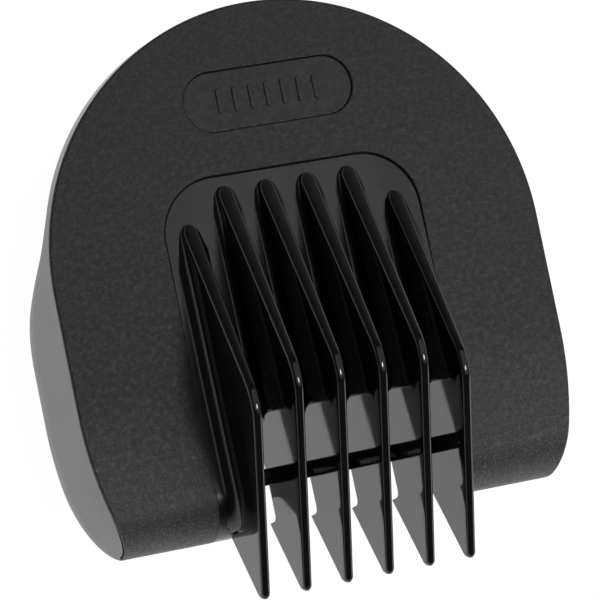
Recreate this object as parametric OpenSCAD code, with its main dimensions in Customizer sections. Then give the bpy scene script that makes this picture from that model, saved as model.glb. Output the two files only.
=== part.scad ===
// Eyebrow guide comb for a hair clipper: a D-shaped hood that clips over the blade, with six
// guard teeth in front. It lies on the rims of its cheeks, face up: +X is to the right,
// +Y runs from the tooth tips to the arch, +Z points out of the face. Millimetres.

/* [Hood] */
// Width over the cheeks
body_w = 46.7; // [38:0.1:56]
// Height of the arch centre above the lower lip
side_h = 23.8; // [20:0.1:30]
// Depth of the cheeks behind the face
cheek_depth = 11.5; // [9.5:0.1:14]
// Thickness of the front plate
plate_t = 1.6; // [1.2:0.1:2]
// Thickness of the cheeks and of the arch rim
wall_t = 1.6; // [1.2:0.1:2]
// Outer radius of the rolled lower lip
lip_r = 4.2; // [3.4:0.1:5.1]
// Height of the inner end of the lip behind the face
lip_depth = 5.2; // [4.4:0.1:6.3]
// Height over which the sides taper in towards the lip
taper_h = 13; // [10:0.1:15.6]
// How far each side tapers in
taper_in = 2.5; // [1.8:0.1:3]

/* [Rim] */
// Rim depth where the arch begins
arch_depth = 2.1; // [1.9:0.1:3]
// Rim depth at the top of the arch
arch_end_depth = 3.3; // [2.6:0.1:4]
// Height of the middle of the slope between cheek and arch rim
slope_y = 25.2; // [22:0.1:30]
// Angle of that slope
slope_angle = 53; // [45:1:60]
// Radius where the slope leaves the cheek
slope_r_low = 6.5; // [5:0.1:7.5]
// Radius where the slope meets the arch rim
slope_r_high = 5.5; // [4:0.1:6.5]

/* [Comb] */
// Number of teeth
tooth_count = 6; // [6:1:6]
// Distance between neighbouring teeth
pitch = 4; // [3.3:0.1:4.8]
// Thickness of a tooth at its root, level with the face
tooth_t = 1.6; // [1.3:0.1:1.9]
// Thickness of a tooth at its tip
tip_t = 0.85; // [0.7:0.05:1]
// Slant of each side of a tooth: it is thinner along its ridge
draft = 1; // [0.5:0.1:1.5]
// Top of the ridge of an inner tooth
root_y = 31; // [27:0.1:34]
// How much lower an outer tooth starts
outer_drop = 2.9; // [2:0.1:4]
// Height of the knuckle
knuckle_y = 12.6; // [10.5:0.1:15.1]
// How far the knuckle stands out of the face
knuckle_out = 9.8; // [8:0.1:11.8]
// How much lower and flatter the outer knuckles are
outer_ease = 0.8; // [0.4:0.1:1.2]
// Overhang of the pointed tip below the lip, before it is rounded
tip_over = 6.38; // [5.4:0.02:7.6]
// How far the tip stands out of the face
tip_rise = 0.5; // [0:0.1:1]
// Radius of the rounded tip
tip_r = 0.5; // [0.3:0.1:0.7]
// Radius of the knuckle
knuckle_r = 4; // [2:0.1:5]
// Height of the pointed spur at the back of a tooth
spur_y = 0.65; // [0.5:0.05:0.75]
// Depth of the spur behind the face
spur_depth = 4.4; // [4:0.1:5.2]
// Height of the notch above the spur
notch_y = 0.8; // [0.8:0.1:1.2]
// Radius of that notch
notch_r = 0.7; // [0.5:0.1:0.9]
// Depth of a tooth behind the face at the cross bar
back_depth = 2.6; // [2.2:0.1:3.1]
// Depth of a tooth where it meets the floor
heel_depth = 3.2; // [2.7:0.1:3.8]
// Lower end of the floor between the teeth
floor_y = 10.4; // [9:0.1:12.5]

/* [Pad and bars] */
// Height of the top edge of the smooth pad round the comb
pad_top = 32; // [28:0.1:35]
// Margin of the pad beside the outer teeth
pad_margin = 1.5; // [1.3:0.1:2.2]
// Corner radius of the pad
pad_r = 5.3; // [4.4:0.1:6.4]
// Lower edge of the cross bar
bar_y = 4; // [3.3:0.1:4.6]
// Height of the cross bar
bar_h = 1.5; // [1.2:0.1:1.8]
// Thickness of the cross bar
bar_t = 1.3; // [1:0.1:1.6]
// Height of the straight edge of the guards behind the outer teeth
guard_y = 3; // [2.5:0.1:3.4]
// Depth at which a guard's edge turns towards the blade
guard_bend = 7.7; // [7:0.1:8.2]
// Depth of the guards behind the face
guard_depth = 9.5; // [9.3:0.1:10.5]
// Radius of the turn in a guard's edge
guard_r = 3; // [2:0.1:3.4]

/* [Label] */
// Length of the label recess
label_w = 16.3; // [13:0.1:19.6]
// Height of the label recess
label_h = 5.5; // [4.6:0.1:6.6]
// Height of the label centre above the lip
label_y = 38.6; // [36.5:0.1:41]
// Depth of the label recess
label_recess = 0.6; // [0.4:0.1:0.8]
// Thickness of the blank label plate
label_t = 0.35; // [0.25:0.05:0.4]
// Clearance round the label plate
label_gap = 0.05; // [0.02:0.01:0.1]

/* [Snap arms] */
// Lower end of a snap arm along the cheek
arm_y = 9.5; // [8:0.1:11]
// Width of a snap arm
arm_w = 8.5; // [7:0.1:10]
// Thickness of a snap arm
arm_t = 1; // [0.8:0.1:1.2]
// Room between the arm and the cheek
arm_room = 1.2; // [0.9:0.1:1.5]
// Distance of the arm's free end from the rim plane
arm_end = 1.2; // [0.8:0.1:2]
// Radius of the bead that clicks behind the blade
bead_r = 0.9; // [0.7:0.1:1.1]
// Radius of the arm's rounded root
root_r = 0.9; // [0.75:0.05:1.1]
// Radial clearance of the root in its seat
root_gap = 0.05; // [0.02:0.01:0.1]
// Room on each side of the arm at the mouth of its seat
mouth_room = 0.35; // [0.25:0.05:0.5]
// How far the seat block stands past the arm at both ends
seat_margin = 0.6; // [0.4:0.1:1]

/* [Blade seat] */
// Distance between the two seat ribs, centre to centre
rib_spread = 30; // [27:0.1:33]
// Thickness of a seat rib
rib_t = 1.2; // [0.9:0.1:1.5]
// Height of a seat rib
rib_h = 1.2; // [0.9:0.1:1.6]
// Lower end of the seat ribs
rib_y = 12; // [11:0.1:14]
// Length of the seat ribs
rib_len = 22; // [18:0.1:24]
// Width of a blade stop
stop_w = 5.5; // [4.5:0.1:6]
// Thickness of a blade stop
stop_t = 1.2; // [1:0.1:1.5]
// Height of a blade stop
stop_h = 4.2; // [3.4:0.1:5]
// Gap between a blade stop and the cheek beside it
stop_gap = 1; // [0.6:0.1:1.4]
// Width of the heel hook
hook_w = 14; // [11:0.1:17]
// Thickness of the heel hook
hook_t = 1.8; // [1.4:0.1:2.2]
// Height of the heel hook
hook_h = 4.9; // [4:0.1:5.9]
// Reach of the nose of the heel hook
hook_nose = 1.4; // [1:0.1:1.8]
// Thickness of the nose of the heel hook
hook_nose_t = 1.2; // [1:0.1:1.5]
// Distance of the heel hook from the top of the arch
hook_from_top = 3.9; // [3:0.1:5]

/* [Hidden] */

$fn = 96;
margin = 1;
shell_color = "#2b2b2d";
comb_color = "#141415";
inner_color = "#202022";

half_w = body_w / 2;
arch_top = side_h + half_w;
taper_r = (taper_h * taper_h + taper_in * taper_in) / (2 * taper_in);
face_z = cheek_depth;
back_z = face_z - plate_t;
nose_r = face_z - lip_r;
row_half = pitch * (tooth_count - 1) / 2;
comb_half = row_half + tooth_t / 2;
pad_half = comb_half + pad_margin;
bar_top = bar_y + bar_h;
arm_out = half_w - wall_t - arm_room;
arm_x = arm_out - arm_t / 2;
arm_z = back_z - root_r - root_gap - 0.35;
seat_z = arm_z - root_r;
taper_at_stop = taper_r - sqrt(taper_r * taper_r - pow(taper_h - lip_r, 2));
stop_x = half_w - wall_t - taper_at_stop - stop_gap - stop_w;
tip_end = tip_over - (tip_r / sin(tip_half()) - tip_r) * cos(tip_lean());
mid_y = (arch_top - tip_end) / 2;

function unit(v) = v / norm(v);

function turn(a, b) = (b - a + 540) % 360 - 180;

// Points of the arc that rounds corner b between its neighbours a and c.
function corner(a, b, c, r, n = 8) =
    let (
        u = unit(a - b),
        w = unit(c - b),
        half = acos(u * w) / 2,
        mid = b + unit(u + w) * r / sin(half),
        p = b + u * r / tan(half) - mid,
        q = b + w * r / tan(half) - mid,
        from = atan2(p.y, p.x),
        sweep = turn(from, atan2(q.y, q.x))
    )
    [for (i = [0:n]) mid + r * [cos(from + sweep * i / n), sin(from + sweep * i / n)]];

function arc(mid, r, from, to, n = 12) =
    [for (i = [0:n]) mid + r * [cos(from + (to - from) * i / n), sin(from + (to - from) * i / n)]];

// Corners of a tooth's side profile, as [y, z].
function root(outer) = [root_y - (outer ? outer_drop : 0), face_z];
function knuckle(outer) =
    let (ease = outer ? outer_ease : 0)
    [knuckle_y - 2 * ease, face_z + knuckle_out - ease];
function tip() = [-tip_over, face_z + tip_rise];
function spur() = [spur_y, face_z - spur_depth];

// The rounded edge from the spur to the cross bar.
function notch() = concat(
    [spur()],
    corner(spur(), [notch_y, face_z - back_depth], [bar_top, face_z - back_depth], notch_r),
    [[bar_top, face_z - back_depth]]
);

// Half of the angle at the tooth's tip, and how far its bisector leans from the Y axis.
function tip_up() = atan2(knuckle(false).y - tip().y, knuckle(false).x - tip().x);
function tip_down() = atan2(tip().y - spur().y, spur().x - tip().x);
function tip_half() = (tip_up() + tip_down()) / 2;
function tip_lean() = (tip_up() - tip_down()) / 2;

function tooth_profile(outer) = concat(
    [root(outer)],
    corner(root(outer), knuckle(outer), tip(), knuckle_r),
    corner(knuckle(outer), tip(), spur(), tip_r),
    notch(),
    [[floor_y, face_z - heel_depth],
     [floor_y, face_z]]
);

// Side view of the whole hood, as [y, z].
function hood_profile() =
    let (
        rim_z = face_z - arch_depth,
        half_run = rim_z / 2 / tan(slope_angle),
        low = [slope_y - half_run, 0],
        high = [slope_y + half_run, rim_z]
    )
    concat(
        arc([lip_r, nose_r], lip_r, 180, 90),
        [[arch_top + margin, face_z],
         [arch_top + margin, face_z - arch_end_depth]],
        corner([arch_top, rim_z], high, low, slope_r_high, 12),
        corner(high, low, [nose_r, 0], slope_r_low, 12),
        arc([nose_r, nose_r], nose_r, 270, 180)
    );

// Side view of the space behind the plate and the lip.
function behind_profile() = concat(
    arc([lip_r, nose_r], lip_r - plate_t, 90, 180),
    [[plate_t, face_z - lip_depth],
     [-margin, face_z - lip_depth],
     [-margin, -margin],
     [arch_top + margin, -margin],
     [arch_top + margin, back_z]]
);

// Half the thickness of a tooth at height y and depth z: it thins evenly towards the tip and
// the ridge.
function half_t(y, z) =
    (tip_t + (tooth_t - tip_t) * (y + tip_over) / (root_y + tip_over)) / 2
    - (z - face_z) * tan(draft);

module placed() {
    translate([0, -mid_y, 0]) children();
}

// Extrudes a [y, z] outline along X, centred on x.
module across(x, width) {
    translate([x - width / 2, 0, 0])
        rotate([90, 0, 90])
            linear_extrude(width) children();
}

// Everything on the tooth's side of one slanting flank, for a tooth in the middle.
module within_flank() {
    slope = (tooth_t - tip_t) / (root_y + tip_over) / 2;
    normal = unit([1, -slope, tan(draft)]);
    reach = 2 * body_w;
    translate([half_t(0, face_z), 0, face_z])
        rotate([0, -asin(normal.z), atan2(normal.y, normal.x)])
            block([-reach, -reach, -reach], [0, reach, reach]);
}

// The space between the two slanting flanks of a tooth at x.
module wedge(x) {
    translate([x, 0, 0])
        intersection() {
            within_flank();
            on_side(-1) within_flank();
        }
}

// A side profile at x as a plate that thins towards the tip and the ridge.
module tapered(x) {
    intersection() {
        across(x, tooth_t + 2 * margin) children();
        wedge(x);
    }
}

// A block from one corner to the opposite one.
module block(low, high) {
    translate(low) cube(high - low);
}

// A copy on the left, where side is -1, or on the right, where side is 1.
module on_side(side) {
    if (side < 0) mirror([1, 0, 0]) children();
    else children();
}

module outline(inset) {
    r = half_w - inset;
    translate([0, side_h])
        intersection() {
            circle(r);
            translate([-r, 0]) square([2 * r, r]);
        }
    translate([-r, taper_h]) square([2 * r, side_h - taper_h]);
    intersection() {
        translate([-r, 0]) square([2 * r, taper_h]);
        translate([half_w - taper_r, taper_h]) circle(taper_r - inset);
        translate([taper_r - half_w, taper_h]) circle(taper_r - inset);
    }
}

module hood() {
    intersection() {
        linear_extrude(face_z) outline(0);
        across(0, body_w + 2 * margin) polygon(hood_profile());
    }
}

module behind() {
    across(0, body_w + 2 * margin) polygon(behind_profile());
}

module front_skin() {
    difference() {
        hood();
        behind();
    }
}

module rim_wall() {
    difference() {
        intersection() {
            hood();
            behind();
        }
        translate([0, 0, -margin]) linear_extrude(face_z) outline(wall_t);
    }
}

module pad_prism() {
    translate([0, 0, -margin])
        linear_extrude(face_z + 2 * margin) {
            translate([-pad_half, -margin]) square([2 * pad_half, pad_top - pad_r + margin]);
            translate([pad_r - pad_half, 0]) square([2 * (pad_half - pad_r), pad_top]);
            for (side = [-1, 1])
                translate([side * (pad_half - pad_r), pad_top - pad_r]) circle(pad_r);
        }
}

module stadium(length, height) {
    translate([-(length - height) / 2, -height / 2]) square([length - height, height]);
    for (side = [-1, 1])
        translate([side * (length - height) / 2, 0]) circle(height / 2);
}

module face_plate() {
    color(shell_color) placed()
        difference() {
            front_skin();
            block([-half_w - margin, -margin, -margin], [half_w + margin, lip_r, face_z + margin]);
            pad_prism();
            translate([0, label_y, face_z - label_recess])
                linear_extrude(label_recess + margin) stadium(label_w, label_h);
        }
}

module lip(side) {
    color(shell_color) placed()
        difference() {
            intersection() {
                front_skin();
                on_side(side) block([0, -margin, -margin], [half_w + margin, lip_r, face_z + margin]);
            }
            pad_prism();
        }
}

module arch_rim() {
    color(shell_color) placed()
        intersection() {
            rim_wall();
            block([-half_w - margin, side_h, -margin], [half_w + margin, arch_top + margin, face_z]);
        }
}

module cheek(side) {
    color(shell_color) placed()
        intersection() {
            rim_wall();
            on_side(side) block([0, -margin, -margin], [half_w + margin, side_h, face_z]);
        }
}

module comb_pad() {
    color(comb_color) placed()
        difference() {
            intersection() {
                front_skin();
                pad_prism();
            }
            block([-row_half, -margin, -margin], [row_half, floor_y, face_z + margin]);
            for (side = [-1, 1])
                intersection() {
                    wedge(side * row_half);
                    block([-half_w, -margin, -margin], [half_w, floor_y, face_z + margin]);
                }
        }
}

module label_plate() {
    color(shell_color) placed()
        translate([0, label_y, face_z - label_recess])
            linear_extrude(label_t) stadium(label_w - 2 * label_gap, label_h - 2 * label_gap);
}

module cross_bar_block() {
    block([-row_half, bar_y, face_z - back_depth],
          [row_half, bar_top, face_z - back_depth + bar_t]);
}

module tooth(number) {
    outer = number == 1 || number == tooth_count;
    color(comb_color) placed()
        difference() {
            tapered((number - (tooth_count + 1) / 2) * pitch) polygon(tooth_profile(outer));
            cross_bar_block();
        }
}

module cross_bar() {
    color(comb_color) placed() cross_bar_block();
}

// The guard carries the outer tooth's back edge on towards the blade's tip.
module guard(side) {
    color(comb_color) placed()
        tapered(side * row_half)
            polygon(concat(
                notch(),
                [[bar_top, face_z - guard_depth],
                 [guard_y, face_z - guard_depth]],
                corner([guard_y, face_z - guard_depth], [guard_y, face_z - guard_bend], spur(),
                       guard_r)
            ));
}

module seat_rib(side) {
    color(inner_color) placed()
        translate([side * rib_spread / 2 - rib_t / 2, rib_y, back_z - rib_h])
            cube([rib_t, rib_len, rib_h]);
}

module stop(side) {
    color(inner_color) placed()
        on_side(side) translate([stop_x, lip_r, back_z - stop_h]) cube([stop_w, stop_t, stop_h]);
}

module heel_hook() {
    hook_y = arch_top - hook_from_top - hook_t;
    color(inner_color) placed() {
        translate([-hook_w / 2, hook_y, back_z - hook_h]) cube([hook_w, hook_t, hook_h]);
        translate([-hook_w / 2, hook_y - hook_nose, back_z - hook_h])
            cube([hook_w, hook_nose + hook_t, hook_nose_t]);
    }
}

// Block on the back of the plate in which the arm's root turns as the plastic flexes.
module arm_seat(side) {
    seat_r = root_r + root_gap;
    mouth = arm_t / 2 + mouth_room;
    color(inner_color) placed()
        on_side(side) difference() {
            intersection() {
                block([arm_x - seat_r - wall_t / 2, arm_y - seat_margin, seat_z],
                      [half_w - wall_t, arm_y + arm_w + seat_margin, back_z]);
                linear_extrude(back_z) outline(wall_t);
            }
            translate([arm_x, arm_y - seat_margin - margin, arm_z])
                rotate([-90, 0, 0])
                    cylinder(h = arm_w + 2 * (seat_margin + margin), r = seat_r);
            block([arm_x - mouth, arm_y - seat_margin - margin, seat_z - margin],
                  [arm_x + mouth, arm_y + arm_w + seat_margin + margin, arm_z]);
        }
}

module snap_arm(side) {
    color(inner_color) placed()
        on_side(side) {
            translate([arm_x, arm_y, arm_z]) rotate([-90, 0, 0]) cylinder(h = arm_w, r = root_r);
            block([arm_x - arm_t / 2, arm_y, arm_end], [arm_x + arm_t / 2, arm_y + arm_w, arm_z]);
            intersection() {
                translate([arm_x - arm_t / 2, arm_y, arm_end + 1.5 * bead_r])
                    rotate([-90, 0, 0]) cylinder(h = arm_w, r = bead_r);
                block([arm_x - arm_t - bead_r, arm_y, 0], [arm_x, arm_y + arm_w, back_z]);
            }
        }
}

face_plate();
lip(-1);  // left_lip
lip(1);  // right_lip
arch_rim();
cheek(-1);  // left_cheek
cheek(1);  // right_cheek
comb_pad();
label_plate();
tooth(1);  // tooth_1
tooth(2);  // tooth_2
tooth(3);  // tooth_3
tooth(4);  // tooth_4
tooth(5);  // tooth_5
tooth(6);  // tooth_6
cross_bar();
guard(-1);  // left_guard
guard(1);  // right_guard
seat_rib(-1);  // left_seat_rib
seat_rib(1);  // right_seat_rib
stop(-1);  // left_stop
stop(1);  // right_stop
heel_hook();
arm_seat(-1);  // left_arm_seat
arm_seat(1);  // right_arm_seat
snap_arm(-1);  // left_snap_arm
snap_arm(1);  // right_snap_arm
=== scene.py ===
import math

import bmesh
import bpy
from mathutils import Matrix, Vector


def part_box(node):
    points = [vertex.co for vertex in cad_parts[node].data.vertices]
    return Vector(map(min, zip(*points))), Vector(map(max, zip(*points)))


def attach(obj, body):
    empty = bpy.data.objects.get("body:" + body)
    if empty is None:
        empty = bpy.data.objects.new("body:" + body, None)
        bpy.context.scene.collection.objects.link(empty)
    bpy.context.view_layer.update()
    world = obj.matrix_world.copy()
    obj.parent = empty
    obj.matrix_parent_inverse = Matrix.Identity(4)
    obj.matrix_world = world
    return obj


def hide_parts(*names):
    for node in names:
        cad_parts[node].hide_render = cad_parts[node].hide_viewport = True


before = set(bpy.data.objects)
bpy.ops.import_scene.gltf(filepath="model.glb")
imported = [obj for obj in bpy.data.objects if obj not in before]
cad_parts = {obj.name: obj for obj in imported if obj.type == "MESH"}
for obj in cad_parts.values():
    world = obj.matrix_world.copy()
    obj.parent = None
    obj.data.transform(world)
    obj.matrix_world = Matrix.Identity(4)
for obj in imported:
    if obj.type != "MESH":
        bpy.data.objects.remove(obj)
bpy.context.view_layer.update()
scene = bpy.context.scene
mm = 0.001
print("frame loaded")

# The outline work is in millimetres, with y = 0 at the lower lip and z = 0 at the cheeks' rims.
faceLow, faceHigh = [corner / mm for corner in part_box("face_plate")]
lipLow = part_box("left_lip")[0] / mm
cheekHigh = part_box("left_cheek")[1] / mm
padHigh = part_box("comb_pad")[1] / mm
innerLow, innerHigh = [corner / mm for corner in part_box("tooth_2")]
outerLow, outerHigh = [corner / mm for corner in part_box("tooth_1")]
labelLow, labelHigh = [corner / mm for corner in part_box("label_plate")]
baseY = lipLow.y

hood = {
    "halfWidth": faceHigh.x,
    "archY": cheekHigh.y - baseY,
    "faceZ": faceHigh.z,
    "plate": faceHigh.z - faceLow.z,
    "lipRadius": faceLow.y - baseY,
    "lipDepth": faceHigh.z - lipLow.z,
    "wall": 1.6,
    "taperHeight": 13.0,
    "taperIn": 2.5,
    "archDepth": 2.1,
    "archEndDepth": 3.3,
    "slopeY": 25.2,
    "slopeAngle": math.radians(53),
    "slopeLow": 6.5,
    "slopeHigh": 5.5,
    "edge": 0.2,
    "seam": 0.3,
    "rimRound": 0.45,
}
pad = {
    "halfWidth": padHigh.x,
    "top": padHigh.y - baseY,
    "corner": 5.3,
    "stepLow": 0.02,
    "stepHigh": 0.26,
    "fadeLow": 19.0,
    "fadeHigh": 32.0,
    "edge": 0.14,
    "floorY": 10.4,
    "windowCorner": 0.8,
}
label = {
    "length": labelHigh.x - labelLow.x + 0.1,
    "height": labelHigh.y - labelLow.y + 0.1,
    "y": (labelHigh.y + labelLow.y) / 2 - baseY,
    "drop": 0.25,
    "ticks": 7,
    "tickPitch": 1.55,
    "tickWidth": 0.5,
    "tickHeight": 2.3,
    "tickOut": 0.12,
}
teeth = {
    "pitch": innerLow.x - outerLow.x,
    "thickness": 1.6,
    "innerRoot": innerHigh.y - baseY,
    "outerRoot": outerHigh.y - baseY,
    "knuckleY": 12.6,
    "knuckleOut": 9.8,
    "outerEase": 0.8,
    "knuckleRound": 4.0,
    "tipThickness": 0.85,
    "draft": math.tan(math.radians(1)),
    "tipOver": 6.38,
    "tipRise": 0.5,
    "tipRound": 0.5,
    "spur": (0.65, 4.4),
    "notch": (0.8, 2.6),
    "notchRound": 0.7,
    "heelDepth": 3.2,
    "barTop": 5.5,
    "guard": (3.0, 7.7),
    "guardRound": 3.0,
    "guardDepth": 9.5,
    "ridgeRound": 0.3,
    "ridgeCrown": 0.02,
    "backRound": 0.15,
    "flare": 0.7,
    "outerFlare": 1.15,
}
taperRadius = (hood["taperHeight"] ** 2 + hood["taperIn"] ** 2) / (2 * hood["taperIn"])
noseRadius = hood["faceZ"] - hood["lipRadius"]


def place(x, y, z):
    return Vector((x, y + baseY, z)) * mm


def halfWidthAt(y):
    if y >= hood["taperHeight"]:
        return hood["halfWidth"]
    drop = hood["taperHeight"] - max(y, 0)
    return hood["halfWidth"] - taperRadius + math.sqrt(taperRadius ** 2 - drop ** 2)


def arcPoints(centre, radius, start, end, count):
    angles = [math.radians(start + (end - start) * i / count) for i in range(count + 1)]
    return [(centre[0] + radius * math.cos(a), centre[1] + radius * math.sin(a)) for a in angles]


def newPiece(name, bm, smoothAngle=35):
    mesh = bpy.data.meshes.new(name)
    bm.to_mesh(mesh)
    bm.free()
    mesh.shade_smooth()
    mesh.set_sharp_from_angle(angle=math.radians(smoothAngle))
    piece = bpy.data.objects.new(name, mesh)
    scene.collection.objects.link(piece)
    return piece


def setFinish(piece, *materials):
    piece.data.materials.clear()
    for material in materials:
        piece.data.materials.append(material)


def newMaterial(name, color, roughness):
    material = bpy.data.materials.new(name)
    material.use_nodes = True
    shader = material.node_tree.nodes["Principled BSDF"]
    shader.inputs["Base Color"].default_value = (*color, 1)
    shader.inputs["Roughness"].default_value = roughness
    shader.inputs["IOR"].default_value = 1.5
    return material, material.node_tree, shader


def addNode(tree, kind, **values):
    node = tree.nodes.new(kind)
    for key, value in values.items():
        setattr(node, key, value)
    return node


def objectCoords(tree):
    return addNode(tree, "ShaderNodeTexCoord").outputs["Object"]


def noise(tree, coords, scale, detail=2.0, roughness=0.5, distortion=0.0):
    node = addNode(tree, "ShaderNodeTexNoise")
    tree.links.new(coords, node.inputs["Vector"])
    node.inputs["Scale"].default_value = scale
    node.inputs["Detail"].default_value = detail
    node.inputs["Roughness"].default_value = roughness
    node.inputs["Distortion"].default_value = distortion
    return node.outputs["Fac"]


def cells(tree, coords, scale, randomness=1.0):
    node = addNode(tree, "ShaderNodeTexVoronoi", feature="SMOOTH_F1")
    tree.links.new(coords, node.inputs["Vector"])
    node.inputs["Scale"].default_value = scale
    node.inputs["Smoothness"].default_value = 0.6
    node.inputs["Randomness"].default_value = randomness
    return node.outputs["Distance"]


def remap(tree, value, low, high, newLow, newHigh):
    node = addNode(tree, "ShaderNodeMapRange")
    tree.links.new(value, node.inputs["Value"])
    for name, number in zip(("From Min", "From Max", "To Min", "To Max"), (low, high, newLow, newHigh)):
        node.inputs[name].default_value = number
    return node.outputs["Result"]


def combine(tree, operation, a, b):
    node = addNode(tree, "ShaderNodeMath", operation=operation)
    for socket, value in zip(node.inputs, (a, b)):
        if isinstance(value, (int, float)):
            socket.default_value = value
        else:
            tree.links.new(value, socket)
    return node.outputs["Value"]


def mixColors(tree, factor, dark, light):
    node = addNode(tree, "ShaderNodeMix", data_type="RGBA")
    tree.links.new(factor, node.inputs["Factor"])
    node.inputs["A"].default_value = (*dark, 1)
    node.inputs["B"].default_value = (*light, 1)
    return node.outputs["Result"]


def addBump(tree, shader, height, distance, strength=1.0):
    node = addNode(tree, "ShaderNodeBump")
    tree.links.new(height, node.inputs["Height"])
    node.inputs["Distance"].default_value = distance
    node.inputs["Strength"].default_value = strength
    tree.links.new(node.outputs["Normal"], shader.inputs["Normal"])


def grainedPlastic(name, look):
    # A rough grain with pale specks. Towards the lower lip the colour turns paler, which is painted light
    # from below, and carries pale dots that are painted glints.
    material, tree, shader = newMaterial(name, look["color"], 0.6)
    coords = objectCoords(tree)
    fine = noise(tree, coords, 5200, 3, 0.65)
    coarse = noise(tree, coords, 2100, 2, 0.55)
    pits = cells(tree, coords, 3600)
    broad = noise(tree, coords, 260, 3, 0.5)
    axes = addNode(tree, "ShaderNodeSeparateXYZ")
    tree.links.new(coords, axes.inputs["Vector"])
    # Painted light from below: this mask makes the colour paler towards the lower lip.
    low = remap(tree, axes.outputs["Y"], -0.006, -0.0205, 0, 1)
    height = combine(tree, "MULTIPLY", fine, 0.8)
    height = combine(tree, "ADD", height, combine(tree, "MULTIPLY", pits, 0.9))
    height = combine(tree, "ADD", height, combine(tree, "MULTIPLY", coarse, 0.6))
    addBump(tree, shader, height, look["depth"])
    specks = remap(tree, combine(tree, "MULTIPLY", fine, coarse), 0.27, 0.40, 0, 1)
    specks = combine(tree, "MULTIPLY", specks, remap(tree, broad, 0.35, 0.65, 0.25, 1.0))
    worn = mixColors(tree, specks, look["color"], look["light"])
    # Painted glints: pale dots in the grain, shown only where the lower-lip mask mixes them in.
    dots = remap(tree, cells(tree, coords, look["dots"]), 0.36, 0.14, 0, 1)
    dots = combine(tree, "MULTIPLY", dots, remap(tree, coarse, 0.38, 0.60, 0, 1))
    dots = combine(tree, "MAXIMUM", combine(tree, "MULTIPLY", dots, 0.7), remap(tree, fine, 0.5, 0.76, 0, 1))
    # Painted light: the paler lower colour with its painted glints, mixed in by the lower-lip mask.
    paintedLowLight = mixColors(tree, dots, look["paintedLowLightColor"], look["paintedGlintColor"])
    mix = addNode(tree, "ShaderNodeMix", data_type="RGBA")
    tree.links.new(low, mix.inputs["Factor"])
    tree.links.new(worn, mix.inputs["A"])
    tree.links.new(paintedLowLight, mix.inputs["B"])
    tree.links.new(mix.outputs["Result"], shader.inputs["Base Color"])
    smooth, rough = look["roughness"]
    tree.links.new(remap(tree, coarse, 0.3, 0.7, smooth, rough), shader.inputs["Roughness"])
    return material


def satinPlastic(name, color, roughness, spread, depth):
    material, tree, shader = newMaterial(name, color, roughness)
    coords = objectCoords(tree)
    ripple = noise(tree, coords, 900, 3, 0.55)
    cloud = noise(tree, coords, 140, 4, 0.6)
    addBump(tree, shader, ripple, depth)
    light = tuple(c * 1.3 for c in color)
    mixed = mixColors(tree, remap(tree, cloud, 0.35, 0.7, 0, 1), color, light)
    tree.links.new(mixed, shader.inputs["Base Color"])
    uneven = remap(tree, cloud, 0.3, 0.7, roughness - spread, roughness + spread)
    tree.links.new(uneven, shader.inputs["Roughness"])
    return material


def glossPlastic():
    look = {"color": (0.0045, 0.0045, 0.0048), "roughness": (0.05, 0.12), "depth": 0.0000012}
    material, tree, shader = newMaterial("glossPlastic", look["color"], 0.08)
    coords = objectCoords(tree)
    haze = noise(tree, coords, 420, 4, 0.6)
    ripple = noise(tree, coords, 1600, 2, 0.5)
    addBump(tree, shader, ripple, look["depth"])
    tree.links.new(remap(tree, haze, 0.3, 0.75, *look["roughness"]), shader.inputs["Roughness"])
    return material


hoodGrain = grainedPlastic("hoodGrain", {
    "color": (0.010, 0.010, 0.0105),
    "light": (0.028, 0.028, 0.028),
    # Painted light from below: the paler colour of the lower lip.
    "paintedLowLightColor": (0.036, 0.036, 0.0365),
    # Painted glints: the colour and the cell scale of the pale dots.
    "paintedGlintColor": (0.17, 0.17, 0.17),
    "dots": 3600,
    "roughness": (0.46, 0.62),
    "depth": 0.000016,
})
labelGrain = grainedPlastic("labelGrain", {
    "color": (0.009, 0.009, 0.0095),
    "light": (0.018, 0.018, 0.018),
    # Painted light from below: the paler colour of the lower lip.
    "paintedLowLightColor": (0.030, 0.030, 0.0305),
    # Painted glints: the colour and the cell scale of the pale dots.
    "paintedGlintColor": (0.20, 0.20, 0.20),
    "dots": 3000,
    "roughness": (0.45, 0.58),
    "depth": 0.000006,
})
skirtSatin = satinPlastic("skirtSatin", (0.010, 0.010, 0.0105), 0.26, 0.04, 0.000001)
padSatin = satinPlastic("padSatin", (0.009, 0.009, 0.0095), 0.27, 0.04, 0.0000012)
insideSatin = satinPlastic("insideSatin", (0.012, 0.012, 0.0125), 0.5, 0.06, 0.000004)
toothGloss = glossPlastic()
print("materials made")


def insetPoints(loop, distances):
    # A point moves to its left, into the material, by its own distance.
    moved = []
    count = len(loop)
    for i, (x, y) in enumerate(loop):
        before, after = loop[i - 1], loop[(i + 1) % count]
        one = Vector((x - before[0], y - before[1])).normalized()
        two = Vector((after[0] - x, after[1] - y)).normalized()
        normal = Vector((-one.y - two.y, one.x + two.x))
        if normal.length < 1e-6:
            normal = Vector((-one.y, one.x))
        normal.normalize()
        stretch = max(normal.dot(Vector((-one.y, one.x))), 0.5)
        moved.append((x + normal.x * distances[i] / stretch, y + normal.y * distances[i] / stretch))
    return moved


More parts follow.
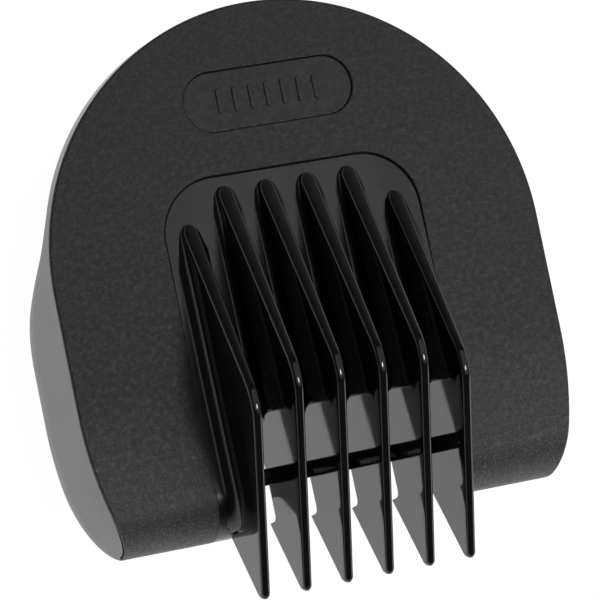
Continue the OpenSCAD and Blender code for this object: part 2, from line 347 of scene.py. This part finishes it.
def slab(name, loops, levels, cuts, wrap):
    # loops: outer outline anticlockwise, holes clockwise; a level gives (inset, depth) for a point.
    bm = bmesh.new()
    rings = []
    for number, loop in enumerate(loops):
        stack = []
        for level in levels:
            pairs = [level(number, point) for point in loop]
            flat = insetPoints(loop, [inset for inset, depth in pairs])
            stack.append([bm.verts.new((x, y, -depth)) for (x, y), (inset, depth) in zip(flat, pairs)])
        rings.append(stack)
        for upper, lower in zip(stack, stack[1:]):
            for i in range(len(loop)):
                j = (i + 1) % len(loop)
                bm.faces.new((upper[i], lower[i], lower[j], upper[j]))
    for level, facing in ((0, 1), (-1, -1)):
        edges = []
        for stack in rings:
            ring = stack[level]
            for i in range(len(ring)):
                edges.append(bm.edges.get((ring[i], ring[(i + 1) % len(ring)])))
        filled = bmesh.ops.triangle_fill(bm, use_beauty=True, edges=edges, normal=(0, 0, facing))
        for face in (g for g in filled["geom"] if isinstance(g, bmesh.types.BMFace)):
            face.normal_update()
            if face.normal.z * facing < 0:
                face.normal_flip()
    for axis, position in cuts:
        point = Vector((0, 0, 0))
        point[axis] = position
        direction = Vector((0, 0, 0))
        direction[axis] = 1
        geometry = bm.verts[:] + bm.edges[:] + bm.faces[:]
        bmesh.ops.bisect_plane(bm, geom=geometry, dist=1e-5, plane_co=point, plane_no=direction)
    for vert in bm.verts:
        vert.co = wrap(vert.co.x, vert.co.y, -vert.co.z)
    bmesh.ops.recalc_face_normals(bm, faces=bm.faces)
    return newPiece(name, bm)


def roundedLevels(radiusAt, top=0.0, steps=5):
    # A rim strip, then a quarter round whose radius may differ from point to point.
    def strip(number, point):
        return radiusAt(number, point) + 0.04, top

    def turned(angle):
        def level(number, point):
            radius = radiusAt(number, point)
            return radius * (1 - math.sin(angle)), top + radius * (1 - math.cos(angle))
        return level

    return [strip] + [turned(math.pi / 2 * i / steps) for i in range(steps + 1)]


def fade(value, low, high):
    t = max(0.0, min(1.0, (value - low) / (high - low)))
    return t * t * (3 - 2 * t)


def padStep(s):
    return pad["stepLow"] + (pad["stepHigh"] - pad["stepLow"]) * fade(s, pad["fadeLow"], pad["fadeHigh"])


def notchFade(s):
    return fade(s, 17.0, 31.0)


lipTurn = hood["lipRadius"] * math.pi / 2
lipEnd = hood["lipRadius"] - lipTurn - (hood["lipDepth"] - hood["lipRadius"])


def wrapFace(x, s, depth):
    # s runs down the face, round the lip and along its underside.
    radius = hood["lipRadius"]
    if s >= radius:
        y, z = s, hood["faceZ"] - depth
    elif s >= radius - lipTurn:
        turn = (radius - s) / radius
        y = radius - (radius - depth) * math.sin(turn)
        z = hood["faceZ"] - radius + (radius - depth) * math.cos(turn)
    else:
        y = depth
        z = hood["faceZ"] - radius - (radius - lipTurn - s)
    return y, z


def sheetY(s):
    return wrapFace(0, s, 0)[0]


lipCuts = [(1, lipEnd + (hood["lipRadius"] - lipEnd) * i / 26) for i in range(1, 27)]


def padOutline(grow):
    # Left strip, top and right strip, from the lower left; grow moves it outwards.
    half = pad["halfWidth"] + grow
    top = pad["top"] + grow
    radius = pad["corner"] + grow
    left = arcPoints((radius - half, top - radius), radius, 180, 90, 24)
    right = arcPoints((half - radius, top - radius), radius, 90, 0, 24)
    return left + right


def faceLoops():
    radius = hood["halfWidth"]
    count = 60
    sides = [lipEnd + (hood["taperHeight"] - lipEnd) * (i / count) for i in range(count)]
    right = [(halfWidthAt(sheetY(s)), s) for s in sides]
    right += [(radius, hood["taperHeight"] + (hood["archY"] - hood["taperHeight"]) * i / 8) for i in range(8)]
    arch = arcPoints((0, hood["archY"]), radius, 0, 180, 160)
    left = [(-x, s) for x, s in reversed(right)]
    notch = padOutline(0.0)
    climb = pad["top"] - pad["corner"] - lipEnd
    notchStart = [(-pad["halfWidth"], lipEnd + climb * i / 24) for i in range(24)]
    notchEnd = [(-x, s) for x, s in reversed(notchStart)]
    outer = right + arch + left + notchStart + notch + notchEnd
    half = label["length"] / 2 - label["height"] / 2
    low = arcPoints((-half, label["y"]), label["height"] / 2, 270, 90, 32)
    high = arcPoints((half, label["y"]), label["height"] / 2, 90, -90, 32)
    return [outer, low + high]


def onNotch(point):
    return abs(point[0]) < pad["halfWidth"] + 0.01 and point[1] < pad["top"] + 0.01


def makeFace():
    loops = faceLoops()
    seam, plate = hood["seam"], hood["plate"]

    def radiusAt(number, point):
        if number == 1:
            return 0.1
        if onNotch(point):
            return 0.02 + 0.12 * notchFade(point[1])
        return hood["edge"]

    def down(number, point):
        return 0.0, seam

    def rebate(number, point):
        onRim = number == 0 and not onNotch(point) and point[1] > lipEnd + 0.01
        return (hood["wall"] + 0.02 if onRim else 0.0), seam

    def back(number, point):
        return rebate(number, point)[0], plate

    def wrap(x, s, depth):
        y, z = wrapFace(x, s, depth)
        if s < hood["lipRadius"] and abs(x) > pad["halfWidth"] + 2:
            # The side follows the taper at its own height.
            x -= math.copysign(halfWidthAt(sheetY(s)) - halfWidthAt(y), x) * (abs(x) / hood["halfWidth"]) ** 8
        return place(x, y, z)

    face = slab("hoodFace", loops, roundedLevels(radiusAt) + [down, rebate, back], lipCuts, wrap)
    setFinish(face, hoodGrain)
    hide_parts("face_plate", "left_lip", "right_lip")
    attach(face, "hood")
    return face


def toothHalf(y, z):
    # Half the thickness of a tooth: it thins towards the tip and the ridge.
    share = (y + teeth["tipOver"]) / (teeth["innerRoot"] + teeth["tipOver"])
    level = teeth["tipThickness"] + (teeth["thickness"] - teeth["tipThickness"]) * share
    return level / 2 - (z - hood["faceZ"]) * teeth["draft"]


def padLoops():
    half = pad["halfWidth"]
    row = teeth["pitch"] * 2.5
    side = [(half, lipEnd + (pad["top"] - pad["corner"] - lipEnd) * i / 24) for i in range(24)]
    arch = list(reversed(padOutline(0.0)))
    outer = side + arch + [(-x, s) for x, s in reversed(side)]
    heights = (lipEnd, 0.0, 2.0, 4.2, 6.0, pad["floorY"] - 0.5)
    lip = [(row + toothHalf(*wrapFace(0, s, 0)), s) for s in heights]
    inner = list(lip)
    r = pad["windowCorner"]
    reach = pad["floorY"] - r
    for gap in range(5):
        x = (2 - gap) * teeth["pitch"]
        edge = teeth["pitch"] / 2 - toothHalf(pad["floorY"], hood["faceZ"]) - r
        inner.append((x + edge + r + 0.1, reach))
        inner += arcPoints((x + edge, reach), r, 0, 90, 6)
        inner += arcPoints((x - edge, reach), r, 90, 180, 6)
        inner.append((x - edge - r - 0.1, reach))
    inner += [(-x, s) for x, s in reversed(lip)]
    return [outer + list(reversed(inner))]


def makePad():
    loops = padLoops()

    def radiusAt(number, point):
        onEdge = abs(point[0]) > pad["halfWidth"] - pad["corner"] - 0.1 or point[1] > pad["top"] - 0.1
        return 0.02 + (pad["edge"] - 0.02) * notchFade(point[1]) if onEdge else 0.12

    def back(number, point):
        return 0.0, hood["plate"] - padStep(point[1])

    def wrap(x, s, depth):
        return place(x, *wrapFace(x, s, depth + padStep(s)))

    piece = slab("combPad", loops, roundedLevels(radiusAt, 0.0, 4) + [back], lipCuts, wrap)
    setFinish(piece, padSatin)
    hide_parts("comb_pad")
    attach(piece, "hood")
    return piece


def loft(name, rings, isFoot=None):
    # Rings run the same way round; both ends are closed.
    bm = bmesh.new()
    rows = [[bm.verts.new(point) for point in ring] for ring in rings]
    size = len(rings[0])
    for k, (upper, lower) in enumerate(zip(rows, rows[1:])):
        for i in range(size):
            j = (i + 1) % size
            face = bm.faces.new((upper[i], upper[j], lower[j], lower[i]))
            if isFoot and isFoot(k, i):
                face.material_index = 1
    bm.faces.new(rows[0])
    bm.faces.new(list(reversed(rows[-1])))
    bmesh.ops.remove_doubles(bm, verts=bm.verts, dist=1e-7)
    bmesh.ops.dissolve_degenerate(bm, edges=bm.edges, dist=1e-7)
    bmesh.ops.recalc_face_normals(bm, faces=bm.faces)
    return newPiece(name, bm)


def rimHeight(y):
    # Height of the skirt's rim over the rim plane of the cheeks.
    rim = hood["faceZ"] - hood["archDepth"]
    run = rim / 2 / math.tan(hood["slopeAngle"])
    ease = math.tan(hood["slopeAngle"] / 2)
    low, high = hood["slopeLow"], hood["slopeHigh"]
    lowY = hood["slopeY"] - run - low * ease
    highY = hood["slopeY"] + run + high * ease
    archTop = hood["archY"] + hood["halfWidth"]
    if y < noseRadius:
        return noseRadius - math.sqrt(noseRadius ** 2 - (noseRadius - y) ** 2)
    if y <= lowY:
        return 0.0
    if y < lowY + low * math.sin(hood["slopeAngle"]):
        return low - math.sqrt(low ** 2 - (y - lowY) ** 2)
    if y < highY - high * math.sin(hood["slopeAngle"]):
        return (y - hood["slopeY"]) * math.tan(hood["slopeAngle"]) + rim / 2
    if y < highY:
        return rim - high + math.sqrt(high ** 2 - (highY - y) ** 2)
    return rim - (hood["archEndDepth"] - hood["archDepth"]) * (y - highY) / (archTop - highY)


def skirtTop(y):
    radius = hood["lipRadius"]
    if y >= radius:
        return hood["faceZ"] - hood["seam"]
    inner = radius - hood["seam"]
    return hood["faceZ"] - radius + math.sqrt(max(inner ** 2 - (radius - y) ** 2, 0))


def skirtStations():
    # Places from the left lip corner over the arch to the right one, as (point, outward normal).
    start = 0.02
    low = [start + (hood["taperHeight"] - start) * (i / 44) ** 1.8 for i in range(44)]
    straight = [hood["taperHeight"] + (hood["archY"] - hood["taperHeight"]) * i / 26 for i in range(26)]
    side = []
    for y in low + straight:
        slope = max(hood["taperHeight"] - y, 0) / taperRadius
        side.append(((halfWidthAt(y), y), (math.sqrt(1 - slope ** 2), -slope)))
    arch = []
    for i in range(121):
        a = math.pi * i / 120
        normal = (math.cos(a), math.sin(a))
        arch.append(((hood["halfWidth"] * normal[0], hood["archY"] + hood["halfWidth"] * normal[1]), normal))
    left = [((-p[0], p[1]), (-n[0], n[1])) for p, n in reversed(side)]
    return side + arch + left


def skirtRing(point, normal):
    wall = hood["wall"]
    top, bottom = skirtTop(point[1]), rimHeight(point[1])
    height = max(top - bottom, 0.02)
    r = min(hood["rimRound"], height * 0.45)
    outline = [(0, top)]
    outline += [(0, top - (height - r) * i / 6) for i in range(1, 6)]
    turns = [math.pi / 12 * i for i in range(7)]
    outline += [(r - r * math.cos(a), bottom + r - r * math.sin(a)) for a in turns]
    outline += [(wall - r + r * math.sin(a), bottom + r - r * math.cos(a)) for a in turns]
    outline += [(wall, bottom + r + (height - r) * i / 6) for i in range(1, 7)]
    return [place(point[0] - normal[0] * inset, point[1] - normal[1] * inset, z) for inset, z in outline]


def makeSkirt():
    skirt = loft("hoodSkirt", [skirtRing(point, normal) for point, normal in skirtStations()])
    setFinish(skirt, skirtSatin)
    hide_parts("arch_rim", "left_cheek", "right_cheek")
    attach(skirt, "hood")
    return skirt


def toothSide(outer):
    # Heights of the ridge and of the back of one tooth along y, with the rounded tip and knuckle.
    ease = teeth["outerEase"] if outer else 0
    faceZ = hood["faceZ"]
    root = Vector((teeth["outerRoot"] if outer else teeth["innerRoot"], faceZ))
    knuckle = Vector((teeth["knuckleY"] - 2 * ease, faceZ + teeth["knuckleOut"] - ease))
    tip = Vector((-teeth["tipOver"], faceZ + teeth["tipRise"]))
    spur = Vector((teeth["spur"][0], faceZ - teeth["spur"][1]))
    notch = Vector((teeth["notch"][0], faceZ - teeth["notch"][1]))
    barEnd = Vector((teeth["barTop"], notch.y))
    heel = Vector((pad["floorY"], faceZ - teeth["heelDepth"]))
    bend = Vector((teeth["guard"][0], faceZ - teeth["guard"][1]))
    guardEnd = Vector((bend.x, faceZ - teeth["guardDepth"]))

    def rounding(a, b, c, radius):
        one, two = (a - b).normalized(), (c - b).normalized()
        half = math.acos(max(-1, min(1, one.dot(two)))) / 2
        reach = radius / math.tan(half)
        return b + (one + two).normalized() * radius / math.sin(half), b + one * reach, b + two * reach

    crest, crestA, crestB = rounding(root, knuckle, tip, teeth["knuckleRound"])
    end, endA, endB = rounding(knuckle, tip, spur, teeth["tipRound"])
    if outer:
        curve, curveA, curveB = rounding(spur, bend, guardEnd, teeth["guardRound"])
        curveRadius, low = teeth["guardRound"], guardEnd.y
        turns = [curveA.x + (bend.x - curveA.x) * (1 - (1 - i / 9) ** 2) for i in range(10)]
    else:
        curve, curveA, curveB = rounding(spur, notch, barEnd, teeth["notchRound"])
        curveRadius, low = teeth["notchRound"], notch.y
        turns = [curveA.x + (curveB.x - curveA.x) * (i / 9) ** 2 for i in range(10)]
    turnEnd = turns[-1] - 0.0005
    tipEnd = end.x - teeth["tipRound"]

    def between(a, b, y):
        return a.y + (b.y - a.y) * (y - a.x) / (b.x - a.x)

    def ridge(y):
        if y < endA.x:
            return end.y + math.sqrt(max(teeth["tipRound"] ** 2 - (y - end.x) ** 2, 0))
        if y < crestB.x:
            return between(tip, knuckle, y)
        if y < crestA.x:
            return crest.y + math.sqrt(max(teeth["knuckleRound"] ** 2 - (y - crest.x) ** 2, 0))
        return between(knuckle, root, y)

    def behind(y):
        if y < endB.x:
            return end.y - math.sqrt(max(teeth["tipRound"] ** 2 - (y - end.x) ** 2, 0))
        if y < spur.x:
            return between(tip, spur, y)
        if y < curveA.x:
            return between(spur, curveA, y)
        if y < turnEnd:
            return curve.y + math.sqrt(max(curveRadius ** 2 - (y - curve.x) ** 2, 0))
        if y < teeth["barTop"]:
            return low
        return between(barEnd, heel, y)

    stations = [end.x - teeth["tipRound"] * math.cos(math.pi / 2 * i / 12) for i in range(1, 13)]
    stations += [end.x + (crestB.x - end.x) * i / 34 for i in range(1, 34)]
    stations += [crestB.x + (crestA.x - crestB.x) * i / 14 for i in range(15)]
    stations += [spur.x - 0.08, spur.x] + turns[:-1] + [turnEnd - 0.001, turnEnd]
    stations += [teeth["barTop"] - 0.001, teeth["barTop"]]
    lower = sorted(y for y in stations if y < pad["floorY"])
    upper = sorted(y for y in stations if y > pad["floorY"])
    rest = root.x - crestA.x
    upper += [crestA.x + rest * (1 - (1 - i / 44) ** 1.7) for i in range(1, 44)]
    return ridge, behind, lower, upper, root.x, tipEnd


def padSurface(y):
    # Height of the pad's face at y, round the lip as well.
    if y >= hood["lipRadius"]:
        return hood["faceZ"] - padStep(y)
    inner = hood["lipRadius"] - padStep(y)
    return hood["faceZ"] - hood["lipRadius"] + math.sqrt(max(inner ** 2 - (hood["lipRadius"] - y) ** 2, 0))


def toothFlank(ridgeZ, bottomZ, halfAt, foot, footZ, stays):
    # One side from the ridge to the bottom; foot is the radius of the fillet on the pad, or 0.
    height = ridgeZ - (footZ if foot else bottomZ)
    half = halfAt(ridgeZ)
    rf = min(teeth["ridgeRound"], half * 0.9, height * 0.42)
    crown = teeth["ridgeCrown"] * half / (teeth["thickness"] / 2)
    points = [((half - rf) * 0.5, ridgeZ - crown * 0.25)]
    for i in range(8):
        a = math.pi / 2 * i / 7
        points.append((half - rf + rf * math.sin(a), ridgeZ - crown - rf + rf * math.cos(a)))
    last = points[-1][1]
    if foot:
        middle = footZ + foot + (last - footZ - foot) * 0.5
        points.append((halfAt(middle), middle))
        half = halfAt(footZ + foot)
        for i in range(7):
            a = math.pi / 2 * i / 6
            points.append((half + foot - foot * math.cos(a), footZ + foot - foot * math.sin(a)))
        base = footZ - 0.4 if stays else bottomZ
        points.append((half + foot, base))
        points.append((half, base))
        last = base
    else:
        for i in range(10):
            z = last + (bottomZ + 0.3 - last) * (i + 1) / 10
            points.append((halfAt(z), z))
        last = bottomZ + 0.3
    half = halfAt(bottomZ)
    rb = min(teeth["backRound"], half * 0.6, (last - bottomZ) * 0.9)
    for i in range(5):
        a = math.pi / 2 * i / 4
        points.append((half - rb + rb * math.cos(a), bottomZ + rb - rb * math.sin(a)))
    return points


def toothRing(y, tooth, leftFoot, rightFoot):
    footZ = padSurface(y)
    onPad = y >= pad["floorY"]
    ridgeZ = tooth["ridge"](y)
    bottomZ = footZ - 0.5 if onPad else tooth["behind"](y)

    def halfAt(z):
        return toothHalf(y, z) * tooth["share"](y)

    right = toothFlank(ridgeZ, bottomZ, halfAt, rightFoot, footZ, not onPad)
    left = toothFlank(ridgeZ, bottomZ, halfAt, leftFoot, footZ, not onPad)
    ring = [(0, ridgeZ)] + right + [(0, bottomZ)] + [(-x, z) for x, z in reversed(left)]
    return [place(x, y, z) for x, z in ring]


def makeTooth(name, outer, side=0):
    # side is -1 or 1 for an outer tooth whose outer foot runs down to the lip.
    ridge, behind, lower, upper, rootY, tipEnd = toothSide(outer)

    def share(y):
        # Both ends of the ridge are rounded.
        atTip = min(1, (y - tipEnd) / 0.5)
        atRoot = min(1, max(rootY - y, 0) / 1.1)
        return math.sqrt(max(1 - (1 - atTip) ** 2, 0.0001)) * math.sqrt(max(1 - (1 - atRoot) ** 2, 0.0004))

    tooth = {"ridge": ridge, "behind": behind, "share": share}
    footStart = 0.35
    stations = [(y, 0) for y in lower if y < footStart] + [(footStart - 0.001, 0), (footStart, 1)]
    stations += [(y, 1) for y in lower if y > footStart] + [(pad["floorY"] - 0.001, 1)]
    stations += [(y, 2) for y in [pad["floorY"]] + upper + [rootY - 0.01]]
    rings = []
    for y, zone in stations:
        height = ridge(y) - padSurface(y)
        foot = min(teeth["flare"], height * 0.5)
        outerFoot = min(teeth["outerFlare"], height * 0.5) * fade(y, footStart - 0.4, footStart + 0.8)
        left = outerFoot if side < 0 and zone else (foot if zone == 2 else 0)
        right = outerFoot if side > 0 and zone else (foot if zone == 2 else 0)
        rings.append(toothRing(y, tooth, left, right))
    size = len(rings[0])
    rightFoot, leftFoot = range(10, 17), range(size - 17, size - 10)

    def isFoot(k, i):
        zone = min(stations[k][1], stations[k + 1][1])
        if zone == 2:
            return i in rightFoot or i in leftFoot
        return zone == 1 and ((side > 0 and i in rightFoot) or (side < 0 and i in leftFoot))

    return loft(name, rings, isFoot)


def toothRowTree():
    # Copies the tooth along X and gives flanks and foot their finishes.
    tree = bpy.data.node_groups.new("toothRow", "GeometryNodeTree")
    face = tree.interface
    face.new_socket("Geometry", in_out="OUTPUT", socket_type="NodeSocketGeometry")
    face.new_socket("Tooth", in_out="INPUT", socket_type="NodeSocketGeometry")
    for name, kind in (("Count", "NodeSocketInt"), ("Pitch", "NodeSocketFloat"), ("Start", "NodeSocketFloat"),
                       ("Ridge Finish", "NodeSocketMaterial"), ("Foot Finish", "NodeSocketMaterial")):
        face.new_socket(name, in_out="INPUT", socket_type=kind)
    entry = addNode(tree, "NodeGroupInput")
    leave = addNode(tree, "NodeGroupOutput")
    line = addNode(tree, "GeometryNodeMeshLine", mode="OFFSET")
    offset = addNode(tree, "ShaderNodeCombineXYZ")
    start = addNode(tree, "ShaderNodeCombineXYZ")
    spread = addNode(tree, "GeometryNodeInstanceOnPoints")
    realize = addNode(tree, "GeometryNodeRealizeInstances")
    index = addNode(tree, "GeometryNodeInputMaterialIndex")
    isFoot = addNode(tree, "FunctionNodeCompare", data_type="INT", operation="EQUAL")
    isRidge = addNode(tree, "FunctionNodeBooleanMath", operation="NOT")
    ridge = addNode(tree, "GeometryNodeSetMaterial")
    foot = addNode(tree, "GeometryNodeSetMaterial")
    link = tree.links.new
    link(entry.outputs["Count"], line.inputs["Count"])
    link(entry.outputs["Pitch"], offset.inputs["X"])
    link(entry.outputs["Start"], start.inputs["X"])
    link(start.outputs["Vector"], line.inputs["Start Location"])
    link(offset.outputs["Vector"], line.inputs["Offset"])
    link(line.outputs["Mesh"], spread.inputs["Points"])
    link(entry.outputs["Tooth"], spread.inputs["Instance"])
    link(spread.outputs["Instances"], realize.inputs["Geometry"])
    link(index.outputs["Material Index"], isFoot.inputs[2])
    isFoot.inputs[3].default_value = 1
    link(isFoot.outputs["Result"], isRidge.inputs[0])
    link(realize.outputs["Geometry"], ridge.inputs["Geometry"])
    link(isRidge.outputs["Boolean"], ridge.inputs["Selection"])
    link(entry.outputs["Ridge Finish"], ridge.inputs["Material"])
    link(ridge.outputs["Geometry"], foot.inputs["Geometry"])
    link(isFoot.outputs["Result"], foot.inputs["Selection"])
    link(entry.outputs["Foot Finish"], foot.inputs["Material"])
    link(foot.outputs["Geometry"], leave.inputs["Geometry"])
    return tree


def runTree(piece, tree, **values):
    # Sets the inputs by identifier, then keeps the result as a plain mesh.
    modifier = piece.modifiers.new(tree.name, "NODES")
    modifier.node_group = tree
    for item in tree.interface.items_tree:
        if item.item_type == "SOCKET" and item.in_out == "INPUT" and item.name in values:
            modifier[item.identifier] = values[item.name]
    bpy.context.view_layer.update()
    evaluated = piece.evaluated_get(bpy.context.evaluated_depsgraph_get())
    mesh = bpy.data.meshes.new_from_object(evaluated)
    piece.modifiers.clear()
    piece.data = mesh
    return piece


def makeTeeth(tree):
    finishes = {"Ridge Finish": toothGloss, "Foot Finish": padSatin}
    pitch = teeth["pitch"] * mm
    inner = makeTooth("innerTeeth", False)
    setFinish(inner, toothGloss, padSatin)
    runTree(inner, tree, Count=4, Pitch=pitch, Start=-1.5 * pitch, **finishes)
    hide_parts("tooth_2", "tooth_3", "tooth_4", "tooth_5")
    pieces = [inner]
    for name, side, nodes in (("leftTooth", -1, ("tooth_1", "left_guard")),
                              ("rightTooth", 1, ("tooth_6", "right_guard"))):
        outer = makeTooth(name, True, side)
        setFinish(outer, toothGloss, padSatin)
        # The foot of the left tooth is polished like its ridge.
        finishes["Foot Finish"] = toothGloss if side < 0 else padSatin
        runTree(outer, tree, Count=1, Pitch=pitch, Start=side * 2.5 * pitch, **finishes)
        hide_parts(*nodes)
        pieces.append(outer)
    for piece in pieces:
        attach(piece, "hood")


def makeLabel():
    half = label["length"] / 2 - label["height"] / 2
    loop = arcPoints((half, label["y"]), label["height"] / 2 - 0.02, -90, 90, 32)
    loop += arcPoints((-half, label["y"]), label["height"] / 2 - 0.02, 90, 270, 32)

    def wrap(x, y, depth):
        return place(x, y, hood["faceZ"] - label["drop"] - depth)

    def radiusAt(number, point):
        return 0.08

    def back(number, point):
        return 0.0, hood["plate"] - label["drop"]

    plate = slab("labelPlate", [loop], roundedLevels(radiusAt, 0.0, 3) + [back], [], wrap)
    setFinish(plate, labelGrain)
    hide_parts("label_plate")
    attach(plate, "hood")
    return plate


def makeTicks():
    # A row of plain raised ticks on the label plate.
    radius = label["tickWidth"] / 2
    half = label["tickHeight"] / 2 - radius
    loop = arcPoints((0, label["y"] - half), radius, 180, 360, 10)
    loop += arcPoints((0, label["y"] + half), radius, 0, 180, 10)

    def wrap(x, y, depth):
        return place(x, y, hood["faceZ"] - label["drop"] + label["tickOut"] - depth)

    def radiusAt(number, point):
        return 0.06

    def back(number, point):
        return 0.0, label["tickOut"] + 0.1

    ticks = slab("labelTicks", [loop], roundedLevels(radiusAt, 0.0, 3) + [back], [], wrap)
    setFinish(ticks, labelGrain, labelGrain)
    pitch = label["tickPitch"] * mm
    runTree(ticks, rowTree, Count=label["ticks"], Pitch=pitch, Start=-pitch * (label["ticks"] - 1) / 2,
            **{"Ridge Finish": labelGrain, "Foot Finish": labelGrain})
    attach(ticks, "hood")


def soften(node, name, radius, material, body):
    # The CAD solid again, with rounded edges.
    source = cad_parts[node]
    bm = bmesh.new()
    bm.from_mesh(source.data)
    bmesh.ops.remove_doubles(bm, verts=bm.verts, dist=1e-6)
    bmesh.ops.dissolve_limit(bm, angle_limit=math.radians(1), verts=bm.verts, edges=bm.edges)
    sharp = [edge for edge in bm.edges if edge.is_manifold and edge.calc_face_angle(0) > math.radians(30)]
    bmesh.ops.bevel(bm, geom=sharp, offset=radius * mm, offset_type="OFFSET", segments=3, profile=0.5,
                    affect="EDGES", clamp_overlap=True)
    piece = newPiece(name, bm)
    setFinish(piece, material)
    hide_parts(node)
    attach(piece, body)
    return piece


def makeSmallParts():
    soften("cross_bar", "crossBar", 0.2, toothGloss, "hood")
    for side in ("left", "right"):
        for part, radius in (("seat_rib", 0.2), ("stop", 0.2), ("arm_seat", 0.12)):
            words = part.split("_")
            name = side + "".join(word.capitalize() for word in words)
            soften(f"{side}_{part}", name, radius, insideSatin, "hood")
        soften(f"{side}_snap_arm", side + "SnapArm", 0.15, insideSatin, f"{side}_arm")
    soften("heel_hook", "heelHook", 0.2, insideSatin, "hood")


def makeStage():
    bm = bmesh.new()
    size = 4.0
    corners = ((-size, -size), (size, -size), (size, size), (-size, size))
    bm.faces.new([bm.verts.new((x, y, 0)) for x, y in corners])
    mesh = bpy.data.meshes.new("lightTable")
    bm.to_mesh(mesh)
    bm.free()
    floor = bpy.data.objects.new("lightTable", mesh)
    scene.collection.objects.link(floor)
    material = bpy.data.materials.new("paleAcrylic")
    material.use_nodes = True
    shader = material.node_tree.nodes["Principled BSDF"]
    shader.inputs["Base Color"].default_value = (0.2, 0.2, 0.2, 1)
    shader.inputs["Roughness"].default_value = 0.9
    shader.inputs["Specular IOR Level"].default_value = 0.1
    shader.inputs["Emission Color"].default_value = (1, 1, 1, 1)
    shader.inputs["Emission Strength"].default_value = 0.97
    floor.data.materials.append(material)


def makeWorld():
    # Bright near the horizon, dark overhead.
    world = bpy.data.worlds.new("studio")
    scene.world = world
    world.use_nodes = True
    tree = world.node_tree
    coords = addNode(tree, "ShaderNodeTexCoord")
    split = addNode(tree, "ShaderNodeSeparateXYZ")
    ramp = addNode(tree, "ShaderNodeValToRGB")
    tree.links.new(coords.outputs["Generated"], split.inputs["Vector"])
    tree.links.new(split.outputs["Z"], ramp.inputs["Fac"])
    tree.links.new(ramp.outputs["Color"], tree.nodes["Background"].inputs["Color"])
    stops = ramp.color_ramp.elements
    stops[0].position, stops[0].color = 0.0, (1, 1, 1, 1)
    stops[1].position, stops[1].color = 0.5, (0.06, 0.06, 0.06, 1)
    middle = stops.new(0.2)
    middle.color = (0.7, 0.7, 0.7, 1)
    tree.nodes["Background"].inputs["Strength"].default_value = 1.0


def makeLight(name, direction, distance, size, power):
    data = bpy.data.lights.new(name, "AREA")
    data.shape = "DISK"
    data.size = size
    data.energy = power
    lamp = bpy.data.objects.new(name, data)
    aim = Vector((0, 0, 0.01))
    lamp.location = aim + Vector(direction).normalized() * distance
    lamp.rotation_euler = (-Vector(direction)).to_track_quat("-Z", "Y").to_euler()
    scene.collection.objects.link(lamp)


def makeCamera():
    view = {
        "target": (-1.0, 19.71, 11.5),
        "elevation": 69.74,
        "azimuth": 77.4,
        "distance": 358.4,
        "lean": 0.2157,
    }
    data = bpy.data.cameras.new("camera")
    data.lens = 240
    data.sensor_width = 36
    data.clip_start = 0.02
    data.clip_end = 20
    camera = bpy.data.objects.new("camera", data)
    elevation, azimuth = math.radians(view["elevation"]), math.radians(view["azimuth"])
    away = Vector((-math.sin(azimuth) * math.cos(elevation), -math.cos(azimuth) * math.cos(elevation),
                   math.sin(elevation)))
    camera.location = place(*view["target"]) + away * view["distance"] * mm
    up = Vector((view["lean"], 1, 0))
    right = up.cross(away).normalized()
    up = away.cross(right)
    camera.rotation_mode = "QUATERNION"
    turned = [[right[i], up[i], away[i]] for i in range(3)]
    camera.rotation_quaternion = Matrix(turned).to_quaternion()
    scene.collection.objects.link(camera)
    scene.camera = camera


makeCamera()
makeStage()
makeWorld()
makeLight("overheadLight", (0.40, 0.10, 0.90), 0.8, 0.92, 1.25)
makeLight("keyLight", (0.34, -0.145, 0.92), 0.6, 0.12, 0.72)
makeLight("lowLight", (0.79, -0.51, 0.33), 0.6, 0.24, 0.33)
scene.view_settings.view_transform = "Standard"
print("camera and lights set")

makeFace()
makePad()
makeSkirt()
print("hood made")
rowTree = toothRowTree()
makeTeeth(rowTree)
makeLabel()
makeTicks()
makeSmallParts()
print("comb and inner parts made")
